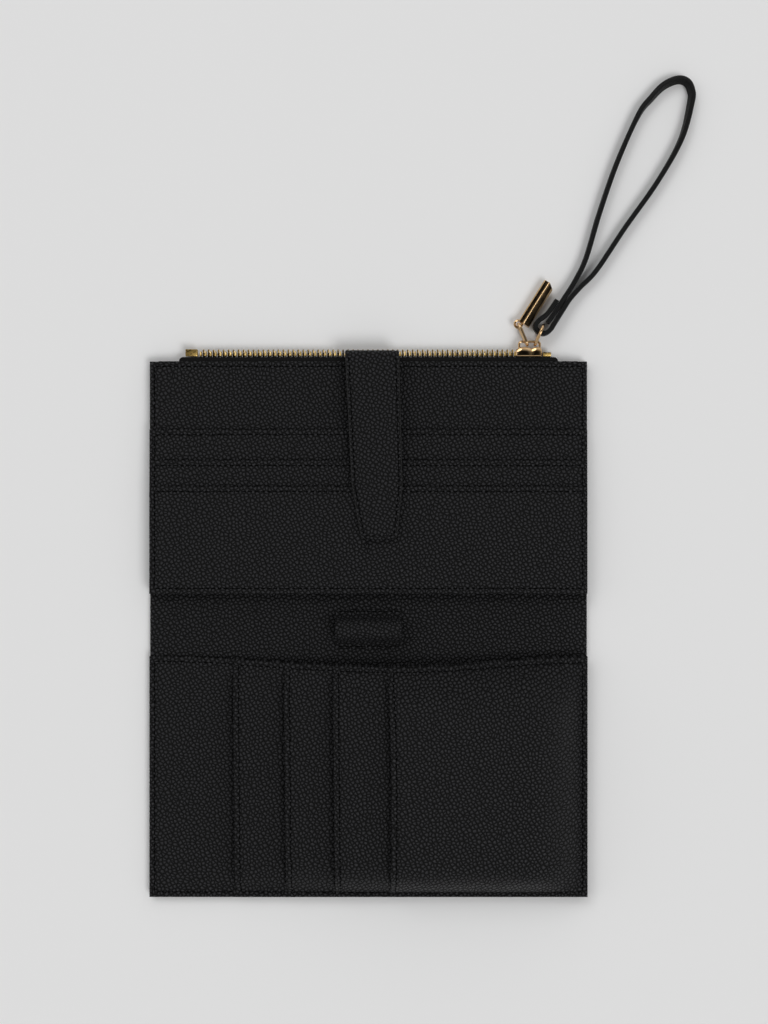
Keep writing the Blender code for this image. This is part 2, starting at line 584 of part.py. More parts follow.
def main():
    clear_scene()
    leather = make_material("pebbled_leather", (0.012, 0.012, 0.013), 0.55)
    smooth_leather = make_material("smooth_leather", (0.010, 0.010, 0.011), 0.42)
    board = make_material("fibre_board", (0.05, 0.045, 0.04), 0.9)
    fabric = make_material("black_fabric", (0.008, 0.008, 0.009), 0.85)
    brass = make_material("brass", (0.62, 0.47, 0.20), 0.32, 1.0)
    gold = make_material("pale_gold", (0.83, 0.62, 0.38), 0.18, 1.0)
    steel = make_material("plated_steel", (0.6, 0.6, 0.6), 0.35, 1.0)

    spine = body_empty("spine_axis", (0, FOLD_LOW, FOLD_Z))
    upper = body_empty("upper_axis", (0, FOLD_HIGH, FOLD_Z), spine)
    slider = body_empty("slider_axis", (sum(SLIDER_X) / 2, CROWN_Y, CHAIN_Z), upper)
    puller_link = body_empty("puller_link_axis", (PULLER_LINK["near"][0], CROWN_Y, CHAIN_Z), slider)
    strap_link = body_empty("strap_link_axis", (STRAP_LINK["near"][0], CROWN_Y, CHAIN_Z), slider)
    eye = far_wire(PULLER_LINK)
    puller = body_empty("puller_axis", (*eye, 0.003), puller_link)
    strap = body_empty("strap_axis", (*far_wire(STRAP_LINK), 0.003), strap_link)
    neck = body_empty("tab_neck_axis", (0, TAB_BEND_Y, TAB_ROOT_Z + 0.0001), upper)
    bridge = body_empty("tab_bridge_axis", (0, TAB_BEND_Y, TAB_Z - FOLD_GAP), neck)
    tip = body_empty("tab_tip_axis", (0, TAB_BEND_Y - TAB_BRIDGE, TAB_Z - FOLD_GAP), bridge)

    build_lower_panel(leather, board, steel)
    build_spine(spine, leather, board)
    build_upper_panel(upper, leather, board, fabric)
    build_zip(upper, fabric, brass)
    build_slider(slider, gold)
    wire("puller_link", link_points(**PULLER_LINK), LINK_RADIUS, gold, puller_link, cyclic=True)
    wire("strap_link", link_points(**STRAP_LINK), LINK_RADIUS, gold, strap_link, cyclic=True)
    build_puller(puller, gold, eye)
    build_strap(strap, smooth_leather)
    build_tab(upper, neck, bridge, tip, leather, steel)


main()
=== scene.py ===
"""Looks for the passport holder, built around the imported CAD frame.

Lengths are in millimetres until a mesh is made.
"""
from math import asin, atan2, ceil, cos, exp, hypot, pi, radians, sin, sqrt

import bmesh
import bpy
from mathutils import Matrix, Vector


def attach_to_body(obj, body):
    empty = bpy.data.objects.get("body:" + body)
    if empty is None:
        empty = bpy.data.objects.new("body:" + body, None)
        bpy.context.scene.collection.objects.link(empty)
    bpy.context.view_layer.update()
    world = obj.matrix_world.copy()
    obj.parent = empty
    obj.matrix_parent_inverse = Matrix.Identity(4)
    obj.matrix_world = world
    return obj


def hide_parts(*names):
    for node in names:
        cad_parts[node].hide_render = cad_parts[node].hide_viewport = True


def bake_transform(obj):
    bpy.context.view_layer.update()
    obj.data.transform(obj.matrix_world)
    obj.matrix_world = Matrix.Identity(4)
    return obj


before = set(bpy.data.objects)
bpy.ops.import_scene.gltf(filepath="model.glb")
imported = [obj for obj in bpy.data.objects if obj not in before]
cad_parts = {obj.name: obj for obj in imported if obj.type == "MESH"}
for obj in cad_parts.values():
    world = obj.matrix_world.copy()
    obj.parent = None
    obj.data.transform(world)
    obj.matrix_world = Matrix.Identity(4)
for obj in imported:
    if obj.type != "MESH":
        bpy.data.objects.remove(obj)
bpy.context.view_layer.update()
scene = bpy.context.scene

MM = 0.001
STUDIO_LEVEL = 0.645  # overall strength of the lamps and the world
HALF_W = 110.0
FOLD_LOW, FOLD_HIGH = -15.7, 15.3
BOTTOM, TOP = -137.0, 132.0
LIPS = (-67.0, -41.2, -16.8, 10.3)  # free edges of the passport pockets, left to right
CARD_EDGES = (97.7, 82.2, 69.2)  # top edges of the card slots
SEAM = 2.6  # from an edge to its row of stitches
TAB_SEAM = 1.8  # the same on the closing tab
DIP = 0.22  # how far below the surface a row of stitches sits
COVER_TOP, LINING_LOW, LINING_TOP = 2.15, 2.05, 3.0
SHEET = 0.8  # thickness of one leather sheet
ZIP_Z = 3.7
TAB_END, TAB_TOP = 42.9, 13.0
FAR_AWAY = 99  # a distance that no edge effect reaches


# ------------------------------------------------------------------ materials

def srgb(value):
    c = value / 255
    return c / 12.92 if c <= 0.04045 else ((c + 0.055) / 1.055) ** 2.4


def grey(r, g=None, b=None):
    return (srgb(r), srgb(r if g is None else g), srgb(r if b is None else b), 1)


def node_maker(tree):
    def node(kind, **values):
        made = tree.nodes.new(kind)
        for key, value in values.items():
            setattr(made, key, value)
        return made
    return node


def new_material(name):
    material = bpy.data.materials.new(name)
    material.use_nodes = True
    tree = material.node_tree
    return material, tree, tree.nodes["Principled BSDF"], node_maker(tree)


def noise(tree, node, vector, scale, detail):
    made = node("ShaderNodeTexNoise")
    made.inputs["Scale"].default_value = scale
    made.inputs["Detail"].default_value = detail
    tree.links.new(vector, made.inputs["Vector"])
    return made.outputs


def scaled_uv(tree, node, scale, wobble, wobble_scale, turn, stretch):
    """The UV map in millimetres times scale, turned and stretched, with a little noise to bend it."""
    uv = node("ShaderNodeUVMap", uv_map="rest")
    size = node("ShaderNodeMapping", vector_type="POINT")
    size.inputs["Rotation"].default_value = (0, 0, turn)
    size.inputs["Scale"].default_value = (scale * stretch, scale / stretch, scale)
    tree.links.new(uv.outputs["UV"], size.inputs["Vector"])
    strength = node("ShaderNodeVectorMath", operation="SCALE")
    strength.inputs["Scale"].default_value = wobble
    tree.links.new(noise(tree, node, size.outputs[0], wobble_scale, 2)["Color"], strength.inputs[0])
    total = node("ShaderNodeVectorMath", operation="ADD")
    tree.links.new(size.outputs[0], total.inputs[0])
    tree.links.new(strength.outputs[0], total.inputs[1])
    return total.outputs[0]


def remap(tree, node, source, low, high, out_low=0.0, out_high=1.0):
    made = node("ShaderNodeMapRange", interpolation_type="SMOOTHSTEP")
    for key, value in zip(("From Min", "From Max", "To Min", "To Max"), (low, high, out_low, out_high)):
        made.inputs[key].default_value = value
    tree.links.new(source, made.inputs["Value"])
    return made.outputs[0]


def multiply_add(tree, node, source, factor, offset, clamped=False):
    """source times factor, plus offset, which is a number or another node's output."""
    made = node("ShaderNodeMath", operation="MULTIPLY_ADD", use_clamp=clamped)
    tree.links.new(source, made.inputs[0])
    made.inputs[1].default_value = factor
    if isinstance(offset, float):
        made.inputs[2].default_value = offset
    else:
        tree.links.new(offset, made.inputs[2])
    return made.outputs[0]


def mixed(tree, node, factor, first, second):
    mix = node("ShaderNodeMix", data_type="RGBA")
    mix.inputs[6].default_value = first
    mix.inputs[7].default_value = second
    tree.links.new(factor, mix.inputs[0])
    return mix.outputs[2]


def leather(name, dark, light, cell, depth, rough, spread=0.06, specular=0.20):
    """Grained leather: rounded pebbles with creases between them, and fine pores."""
    material, tree, shader, node = new_material(name)
    place = scaled_uv(tree, node, 1.0 / cell, 0.22, 0.9, -0.5, 0.97)
    edges = node("ShaderNodeTexVoronoi", feature="DISTANCE_TO_EDGE", voronoi_dimensions="2D")
    domes = node("ShaderNodeTexVoronoi", feature="F1", voronoi_dimensions="2D")
    for cells in (edges, domes):
        cells.inputs["Scale"].default_value = 1.0
        cells.inputs["Randomness"].default_value = 0.72
        tree.links.new(place, cells.inputs["Vector"])
    pebble = remap(tree, node, edges.outputs["Distance"], 0.0, 0.30)
    dome = remap(tree, node, domes.outputs["Distance"], 0.0, 0.75, 1.0, 0.0)
    pores = noise(tree, node, place, 3.2, 4)
    rounded = multiply_add(tree, node, dome, 0.6, pebble)
    height = multiply_add(tree, node, pores["Fac"], 0.22, rounded)
    bump = node("ShaderNodeBump")
    bump.inputs["Strength"].default_value = 1.0
    bump.inputs["Distance"].default_value = depth * MM
    tree.links.new(height, bump.inputs["Height"])
    tree.links.new(bump.outputs["Normal"], shader.inputs["Normal"])
    # painted light and shade: the colour is lightest on the pebbles' crowns, a painted highlight, and darkest
    # in the creases, a painted shade; the creases are also rougher than the crowns
    painted_light_factor = node("ShaderNodeMath", operation="MULTIPLY")
    tree.links.new(multiply_add(tree, node, dome, 0.75, 0.25), painted_light_factor.inputs[0])
    tree.links.new(pebble, painted_light_factor.inputs[1])
    tree.links.new(mixed(tree, node, painted_light_factor.outputs[0], dark, light), shader.inputs["Base Color"])
    patches = noise(tree, node, place, 0.05 * cell, 3)
    sheen = remap(tree, node, patches["Fac"], 0.3, 0.7, rough - spread / 2, rough + spread / 2)
    lifted = node("ShaderNodeMath", operation="ADD")
    lifted.inputs[1].default_value = 0.22
    tree.links.new(sheen, lifted.inputs[0])
    creased = multiply_add(tree, node, pebble, -0.22, lifted.outputs[0], True)
    tree.links.new(creased, shader.inputs["Roughness"])
    shader.inputs["Specular IOR Level"].default_value = specular
    return material


def twill(name):
    """Fabric tape: diagonal ribs across a fine thread."""
    material, tree, shader, node = new_material(name)
    coordinates = node("ShaderNodeTexCoord")
    ribs = node("ShaderNodeTexWave", wave_type="BANDS", bands_direction="DIAGONAL")
    ribs.inputs["Scale"].default_value = 700
    ribs.inputs["Distortion"].default_value = 0.4
    tree.links.new(coordinates.outputs["Object"], ribs.inputs["Vector"])
    bump = node("ShaderNodeBump")
    bump.inputs["Distance"].default_value = 0.12 * MM
    tree.links.new(ribs.outputs["Fac"], bump.inputs["Height"])
    tree.links.new(bump.outputs["Normal"], shader.inputs["Normal"])
    tree.links.new(mixed(tree, node, ribs.outputs["Fac"], grey(5), grey(18)), shader.inputs["Base Color"])
    shader.inputs["Roughness"].default_value = 0.85
    shader.inputs["Specular IOR Level"].default_value = 0.2
    return material


def metal(name, colour, worn, rough, wear_scale):
    """Plated metal, a little darker and rougher in patches."""
    material, tree, shader, node = new_material(name)
    coordinates = node("ShaderNodeTexCoord")
    patches = noise(tree, node, coordinates.outputs["Object"], wear_scale, 5)
    wear = remap(tree, node, patches["Fac"], 0.42, 0.66)
    tree.links.new(mixed(tree, node, wear, colour, worn), shader.inputs["Base Color"])
    tree.links.new(remap(tree, node, patches["Fac"], 0.3, 0.7, rough * 0.8, rough * 1.5),
                   shader.inputs["Roughness"])
    shader.inputs["Metallic"].default_value = 1.0
    return material


# each leather mixes a painted-shade colour for its creases with a painted-highlight colour for its pebble
# crowns
PEBBLED = leather("pebbled_leather_look", grey(12), grey(50, 50, 52), 1.85, 0.36, 0.42,
                  specular=0.10)
SMOOTH = leather("strap_leather_look", grey(4), grey(9), 0.9, 0.05, 0.38)
PAINTED = leather("edge_paint_look", grey(20), grey(30), 0.7, 0.03, 0.34, 0.04, 0.35)
THREAD = leather("thread_look", grey(1), grey(5), 0.35, 0.06, 0.75, 0.04, 0.04)
TAPE = twill("zip_tape_look")
BRASS = metal("antique_brass_look", (0.50, 0.35, 0.12, 1), (0.32, 0.21, 0.06, 1), 0.30, 900)
# painted shade: near-black brass for the back row's teeth where the front row shades them
SHADED_BRASS = metal("painted_shade_brass_look", (0.10, 0.07, 0.03, 1), (0.06, 0.04, 0.02, 1), 0.42, 900)
GOLD = metal("pale_gold_look", (0.66, 0.46, 0.26, 1), (0.58, 0.38, 0.19, 1), 0.10, 260)
STEEL = metal("plated_steel_look", (0.6, 0.6, 0.6, 1), (0.4, 0.4, 0.4, 1), 0.3, 300)


# ------------------------------------------------------------------ mesh tools

def clamp(value):
    return min(1.0, max(0.0, value))


def ramp(value, low, high):
    return clamp((value - low) / (high - low))


def soft(value):
    """An S-shaped ramp over 0 to 1, a little steeper than a straight one."""
    value = clamp(value)
    return value * value * (3 - 2 * value)


def eased(value, share=0.55):
    return (1 - share) * clamp(value) + share * soft(value)


def make_object(name, verts, faces, uvs, material, smooth_angle=38):
    """A mesh from millimetre coordinates, with one UV pair per vertex, also in millimetres."""
    mesh = bpy.data.meshes.new(name)
    mesh.from_pydata([tuple(c * MM for c in v) for v in verts], [], faces)
    layer = mesh.uv_layers.new(name="rest")
    for loop in mesh.loops:
        layer.data[loop.index].uv = uvs[loop.vertex_index]
    bm = bmesh.new()
    bm.from_mesh(mesh)
    bmesh.ops.recalc_face_normals(bm, faces=bm.faces)
    bm.to_mesh(mesh)
    bm.free()
    mesh.shade_smooth()
    mesh.set_sharp_from_angle(angle=radians(smooth_angle))
    mesh.materials.append(material)
    item = bpy.data.objects.new(name, mesh)
    scene.collection.objects.link(item)
    return item


EDGE_STEPS = (0.0, 0.06, 0.2, 0.4, 1.1, 1.9, 2.3, 2.6, 2.9, 3.4, 4.4)


def stations(low, high, pitch, near=True, far=True):
    """Positions from low to high, close together at a finished edge."""
    start = [low + e for e in EDGE_STEPS] if near else [low]
    end = [high - e for e in reversed(EDGE_STEPS)] if far else [high]
    count = max(1, ceil((end[0] - start[-1]) / pitch))
    return start + [start[-1] + (end[0] - start[-1]) * i / count for i in range(1, count)] + end


def edge_drop(distance, thick):
    """How far a face falls at a rounded edge this far away, to half the thickness at the edge itself."""
    half = thick / 2
    if distance >= half:
        return 0.0
    return half * (1 - sqrt(max(0.0, 1 - (1 - distance / half) ** 2)))


def groove(distance, line=SEAM):
    """The dent that a row of stitches pulls, and the swell of the turned edge beside it."""
    return -0.30 * exp(-((distance - line) / 0.42) ** 2) + 0.12 * exp(-((distance - 1.1) / 0.7) ** 2)


def loft(rings, size, closed=False):
    """Faces through rings of points, each of the same size, with end caps unless the rings close up."""
    faces = []
    for i in range(rings if closed else rings - 1):
        here, there = i * size, (i + 1) % rings * size
        for k in range(size):
            after = (k + 1) % size
            faces.append((here + k, here + after, there + after, there + k))
    if not closed:
        faces += [tuple(reversed(range(size))), tuple((rings - 1) * size + k for k in range(size))]
    return faces


def skin(name, ps, qs, where, top, under, material, sewn=(1, 1, 1, 1), finished=(1, 1)):
    """A closed leather sheet on a grid.

    where(p, q) gives x, y; top and under give the two faces' heights. sewn says which of the left, right,
    low and high edges carry a stitch line's groove. finished says which of the low and high edges are
    rounded over, rather than cut square to butt against the next sheet.
    """
    verts, uvs, faces = [], [], []
    width, depth = len(ps), len(qs)
    index = {}

    def add(x, y, z, u, v):
        verts.append((x, y, z))
        uvs.append((u, v))
        return len(verts) - 1

    for j, q in enumerate(qs):
        for i, p in enumerate(ps):
            x, y = where(p, q)
            gaps = (p - ps[0], ps[-1] - p, q - qs[0] if finished[0] else FAR_AWAY,
                    qs[-1] - q if finished[1] else FAR_AWAY)
            high, low = top(x, y), under(x, y)
            drop = edge_drop(min(gaps), high - low)
            border = min(gaps) < 1e-9
            if border:
                index[i, j, 0] = index[i, j, 1] = add(x, y, (high + low) / 2, x, y)
                continue
            line = min((g for g, s in zip(gaps, sewn) if s), default=FAR_AWAY)
            index[i, j, 0] = add(x, y, high - drop + groove(line), x, y)
            index[i, j, 1] = add(x, y, low + drop, x, y)
    for j in range(depth - 1):
        for i in range(width - 1):
            for side in (0, 1):
                corners = ((i, j), (i + 1, j), (i + 1, j + 1), (i, j + 1))
                ring = list(dict.fromkeys(index[a, b, side] for a, b in corners))
                if len(ring) > 2:
                    faces.append(ring if side == 0 else ring[::-1])
    for j in [j for j, done in zip((0, depth - 1), finished) if not done]:
        for i in range(width - 1):
            corners = ((i, 0), (i, 1), (i + 1, 1), (i + 1, 0))
            faces.append(list(dict.fromkeys(index[a, j, side] for a, side in corners)))
    return make_object(name, verts, faces, uvs, material)


def slab_block(name, x0, x1, y0, y1, z0, z1, material, pitch=4.0, near=True, far=True):
    """A flat leather panel with finished edges left and right, and at its low or high end if asked."""
    return skin(name, stations(x0, x1, pitch), stations(y0, y1, pitch, near, far),
                lambda p, q: (p, q), lambda x, y: z1, lambda x, y: z0, material, (0, 0, 0, 0),
                (near, far))


def along(points, pitch):
    """Evenly spaced points along a polyline, each with its direction."""
    spans = [(Vector(b) - Vector(a)).length for a, b in zip(points, points[1:])]
    total = sum(spans)
    count = max(1, round(total / pitch))
    out, span, passed = [], 0, 0.0
    for k in range(count):
        target = total * (k + 0.5) / count
        while span < len(spans) - 1 and passed + spans[span] < target:
            passed += spans[span]
            span += 1
        a, b = Vector(points[span]), Vector(points[span + 1])
        out.append((a.lerp(b, (target - passed) / max(spans[span], 1e-6)), (b - a).normalized()))
    return out


def stitch_row(name, runs, up=(0, 0, 1), pitch=3.1, length=2.35, radius=0.24):
    """Real stitches: each a short thread that dips into the leather at both ends."""
    verts, uvs, faces = [], [], []
    # along a stitch: place, fatness and height
    profile = ((-1.0, 0.25, -0.30), (-0.72, 0.85, -0.03), (0.0, 1.0, 0.05), (0.72, 0.85, -0.03),
               (1.0, 0.25, -0.30))
    sides = 6
    thread = loft(len(profile), sides)
    for run in runs:
        for place, direction in along(run, pitch):
            normal = Vector(up)
            side = direction.cross(normal).normalized()
            normal = side.cross(direction).normalized()
            base = len(verts)
            for t, fat, lift in profile:
                middle = place + direction * (t * length / 2) + normal * (lift + 0.02)
                for k in range(sides):
                    a = 2 * pi * k / sides
                    point = middle + side * (cos(a) * radius * fat) + normal * (sin(a) * radius * fat * 0.8)
                    verts.append(tuple(point))
                    uvs.append((place.x + t, place.y + k * 0.1))
            faces += [tuple(base + k for k in face) for face in thread]
    return make_object(name, verts, faces, uvs, THREAD, 60)


def on(surface, points, lift=0.03):
    """Points in plan, laid on a surface."""
    return [(x, y, surface(x, y) + lift) for x, y in points]


def straight(a, b, pitch=4.0):
    count = max(1, ceil(hypot(b[0] - a[0], b[1] - a[1]) / pitch))
    return [(a[0] + (b[0] - a[0]) * i / count, a[1] + (b[1] - a[1]) * i / count) for i in range(count + 1)]


def smooth_route(points, steps):
    """A smooth curve through the points, with steps to each span."""
    ends = [2 * Vector(points[0]) - Vector(points[1]), 2 * Vector(points[-1]) - Vector(points[-2])]
    track = [ends[0], *(Vector(p) for p in points), ends[1]]
    out = []
    for a, b, c, d in zip(track, track[1:], track[2:], track[3:]):
        for step in range(steps):
            t = step / steps
            out.append(0.5 * (2 * b + t * (c - a) + t * t * (2 * a - 5 * b + 4 * c - d)
                              + t ** 3 * (3 * b - a - 3 * c + d)))
    return [*out, Vector(points[-1])]


def tube(name, points, radius, material, cyclic, sides=16):
    """A round wire along points, swept without twist."""
    points = [Vector(p) for p in points]
    count = len(points)
    verts, uvs = [], []
    travelled, frame_side = 0.0, None
    for i, p in enumerate(points):
        before = points[(i - 1) % count] if cyclic or i else p
        after = points[(i + 1) % count] if cyclic or i < count - 1 else p
        tangent = (after - before).normalized()
        if frame_side is None:
            frame_side = tangent.orthogonal().normalized()
            if cyclic:
                flat = (points[count // 3] - p).cross(points[2 * count // 3] - p)
                frame_side = flat.normalized()
        frame_side = (frame_side - tangent * frame_side.dot(tangent)).normalized()
        other = tangent.cross(frame_side)
        if i:
            travelled += (p - points[i - 1]).length
        for k in range(sides):
            a = 2 * pi * k / sides
            verts.append(tuple(p + (frame_side * cos(a) + other * sin(a)) * radius))
            uvs.append((travelled, k * 2 * pi * radius / sides))
    return make_object(name, verts, loft(count, sides, cyclic), uvs, material, 60)


def bevelled(name, bm, material, width=0.25, segments=3, angle=30, crisp=32):
    """Finish a hard part modelled in millimetres: round its edges and give it a UV map."""
    mesh = bpy.data.meshes.new(name)
    bmesh.ops.recalc_face_normals(bm, faces=bm.faces)
    sharp = [e for e in bm.edges if len(e.link_faces) == 2 and e.calc_face_angle(0) > radians(angle)]
    bmesh.ops.bevel(bm, geom=sharp, offset=width, segments=segments, profile=0.6, affect="EDGES",
                    clamp_overlap=True)
    layer = bm.loops.layers.uv.new("rest")
    for face in bm.faces:
        for loop in face.loops:
            loop[layer].uv = (loop.vert.co.x, loop.vert.co.y + loop.vert.co.z)
    bmesh.ops.scale(bm, vec=(MM, MM, MM), verts=bm.verts)
    bm.to_mesh(mesh)
    bm.free()
    mesh.shade_smooth()
    mesh.set_sharp_from_angle(angle=radians(crisp))
    mesh.materials.append(material)
    item = bpy.data.objects.new(name, mesh)
    scene.collection.objects.link(item)
    return item


def extrude(bm, points):
    """Copy a face through these points along with its sides, and return the copy's points."""
    face = bm.faces.new([bm.verts.new(p) for p in points])
    grown = bmesh.ops.extrude_face_region(bm, geom=[face])["geom"]
    return [v for v in grown if isinstance(v, bmesh.types.BMVert)]


def prism(bm, outline, low, high):
    """Extrude an outline in plan from one height to another."""
    lifted = extrude(bm, [(x, y, low) for x, y in outline])
    bmesh.ops.translate(bm, vec=(0, 0, high - low), verts=lifted)


# ------------------------------------------------------------------ pocket shapes

def ripple(x, y):
    """The slight unevenness of hand-filled leather, the same for every layer so that none cross."""
    return 0.10 * sin(x * 0.061 + 1.0) * sin(y * 0.083 + 0.4) + 0.05 * sin(x * 0.15 + y * 0.11)


MOUTH = FOLD_LOW - 0.15  # the pockets' mouth at the two ends
SAG, SAG_X = 4.6, 15.0  # how far the mouth sags towards the pockets, and where it sags most


def mouth_bulge(x):
    reach = HALF_W + SAG_X if x < SAG_X else HALF_W - SAG_X
    return cos(pi / 2 * min(1.0, abs(x - SAG_X) / reach)) ** 2


def mouth_y(x):
    return MOUTH - SAG * mouth_bulge(x)


def ticket_under(x, y):
    inside = eased(ramp(HALF_W - abs(x), 3.0, 10.0)) * eased(ramp(y, BOTTOM + 3.0, BOTTOM + 10.0))
    raised = mouth_bulge(x) * eased(ramp(y, -34.0, mouth_y(x) - 3.0))
    return 3.3 + 0.5 * inside + 2.5 * raised


def ticket_top(x, y):
    return ticket_under(x, y) + 0.6


def fall(value, low, high, power=2.0):
    """1 before low, then down to 0 at high, slowly at first like a filled pocket's shoulder."""
    return 1 - ramp(value, low, high) ** power


def pocket_open(x, y):
    across = fall(x, 80.0, HALF_W - 4.0)
    top = fall(y, -43.0, mouth_y(x) - 3.0, 1.6)
    bottom = fall(-y, 118.0, -BOTTOM - 3.2)
    return across * min(top, bottom)


def pocket_top(number):
    def height(x, y):
        seam = ticket_top(x, y) + 0.9 * number
        flat = 4.4 + 4.75 * number
        part = pocket_open(x, y)
        return seam * (1 - part) + (flat + ripple(x, y)) * part
    return height


def lower_where(left):
    """Grid to plan: the free lip bows a little and the top edge follows the mouth's sag."""
    def place(p, q):
        bow = 0.0
        if left > 0:
            bow = 1.2 * (1 - ramp(p, left, left + 40.0)) * max(0.0, 1 - ((q + 78.0) / 58.0) ** 2)
        lean = 0.6 * (1 - ramp(p, left, left + 30.0)) * (q + 77.0) / 60.0 if left > -100 else 0.0
        x = p + bow - lean
        sag = (mouth_y(x) - MOUTH) * ramp(q, -60.0, -19.5)
        return x, q + sag
    return place


def build_lower():
    place = lower_where(-200)
    sheet = skin("ticket_pocket_wall", stations(-HALF_W, HALF_W, 3.0), stations(BOTTOM + 0.15, MOUTH, 3.0),
                 place, ticket_top, lambda x, y: ticket_top(x, y) - SHEET, PEBBLED)
    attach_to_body(sheet, "lower_panel")
    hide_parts("ticket_pocket")
    left, low, high = -HALF_W + SEAM, BOTTOM + 2.75, MOUTH - SEAM
    runs = [on(lambda x, y: ticket_top(x, y) - DIP, [place(*p) for p in run]) for run in (
        straight((left, low), (left, high)), straight((left, low), (LIPS[0] - 1, low)),
        straight((left, high), (LIPS[0] - 1, high)))]
    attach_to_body(stitch_row("ticket_pocket_stitches", runs), "lower_panel")

    for number, lip in enumerate(LIPS, 1):
        low_q, high_q = BOTTOM + 0.1 + 0.25 * number, MOUTH - 0.4
        right = HALF_W - 0.12 * number
        place = lower_where(lip)
        height = pocket_top(number)
        sheet = skin(f"passport_pocket_wall_{number}", stations(lip, right, 2.6),
                     stations(low_q, high_q, 2.4), place, height, lambda x, y, h=height: h(x, y) - SHEET,
                     PEBBLED)
        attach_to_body(sheet, "lower_panel")
        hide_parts(f"passport_pocket_{number}")
        last = number == len(LIPS)
        left, low, high = lip + SEAM, low_q + SEAM, high_q - SEAM
        end = right - SEAM if last else LIPS[number] - 1
        lines = [straight((left, low), (end, low)), straight((left, high), (end, high)),
                 straight((left, low), (left, high), 2.5)]
        if last:
            lines.append(straight((end, low), (end, high)))
        runs = [on(lambda x, y, h=height: h(x, y) - DIP, [place(*p) for p in run]) for run in lines]
        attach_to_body(stitch_row(f"passport_pocket_stitches_{number}", runs), "lower_panel")


# ------------------------------------------------------------------ cover, spine and pen loop

def build_cover():
    """The outer leather and its lining are each one piece across a fold, met in the middle of the spine."""
    low = slab_block("cover_lower_half", -HALF_W, HALF_W, BOTTOM, 0.0, 0.0, COVER_TOP, PEBBLED,
                     3.0, True, False)
    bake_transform(low)
    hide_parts("cover_lower", "board_lower")
    high = slab_block("cover_upper_half", -HALF_W, HALF_W, 0.0, TOP, 0.0, COVER_TOP, PEBBLED,
                      3.0, False, True)
    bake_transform(high)
    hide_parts("cover_upper", "board_upper", "cover_spine", "board_spine")
    inner = HALF_W - 0.5
    low = slab_block("lining_lower_half", -inner, inner, BOTTOM + 0.3, 0.0, LINING_LOW, LINING_TOP, PEBBLED,
                     3.0, True, False)
    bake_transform(low)
    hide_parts("facing_lower")
    high = slab_block("lining_upper_half", -inner, inner, 0.0, FOLD_HIGH + 1.9, LINING_LOW, LINING_TOP,
                      PEBBLED, 1.6, False, True)
    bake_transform(high)
    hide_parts("facing_spine")

    # the outer row of stitches, seen on the back
    edge = 2.8
    for name, y0, y1, a, b, fold in (("lower", BOTTOM + edge, -0.5, "lower_panel", "spine", FOLD_LOW),
                                     ("upper", 0.5, TOP - edge, "spine", "upper_panel", FOLD_HIGH)):
        end = y0 if name == "lower" else y1
        runs = [[(s * (HALF_W - edge), y, 0.0) for _, y in straight((0, y0), (0, y1))] for s in (-1, 1)]
        runs.append([(x, end, 0.0) for x, _ in straight((-HALF_W + edge, 0), (HALF_W - edge, 0))])
        row = stitch_row(f"cover_stitches_{name}", runs, up=(0, 0, -1), radius=0.2)
        for vertex in row.data.vertices:  # sunk into the leather, clear of the table
            vertex.co.z += 0.16 * MM
        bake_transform(row)


def ribbon(name, path, widths, thick, material, grooved=True, painted=False):
    """A leather band swept along a path in the YZ plane.

    path holds (y, z, angle of the outward normal, arc); widths(k) gives its left and right edge, and
    thick(k) its thickness below the outward face.
    """
    edge = [0.0, 0.06, 0.2, 0.45, 0.8, 1.25, 1.55, 1.8, 2.05, 2.4, 3.4]
    rounded = 1.6  # no more than this much thickness is rounded over at an edge
    verts, uvs = [], []
    for k, (y, z, angle, arc) in enumerate(path):
        left, right = widths(k)
        t = thick(k)
        half = (right - left) / 2
        xs = [left + e for e in edge] + [left + half] + [right - e for e in reversed(edge)]
        normal = (cos(angle), sin(angle))
        ring = []
        for x in xs:
            gap = min(x - left, right - x)
            lift = -edge_drop(gap, min(t, rounded)) - (t - min(t, rounded)) / 2 * (gap < 1e-9)
            if grooved:
                lift += groove(gap, TAB_SEAM) * min(1, gap / 0.8)
            ring.append((x, lift))
        for x in reversed(xs[1:-1]):
            gap = min(x - left, right - x)
            ring.append((x, -t + edge_drop(gap, min(t, rounded))))
        for x, offset in ring:
            verts.append((x, y + normal[0] * offset, z + normal[1] * offset))
            uvs.append((x, arc))
    size = len(ring)
    item = make_object(name, verts, loft(len(path), size), uvs, material, 42)
    if painted:  # the faces near both edges, and the two end caps
        item.data.materials.append(PAINTED)
        caps = size * (len(path) - 1)
        for k, face in enumerate(item.data.polygons):
            i = k % size
            face.material_index = int(k >= caps or i < 3 or len(xs) - 4 <= i < len(xs) + 2 or i >= size - 3)
    return item


def arc_path(cy, cz, radius, start, end, steps, arc0):
    return [(cy + radius * cos(a), cz + radius * sin(a), a, arc0 + radius * abs(a - start))
            for a in (start + (end - start) * i / steps for i in range(steps + 1))]


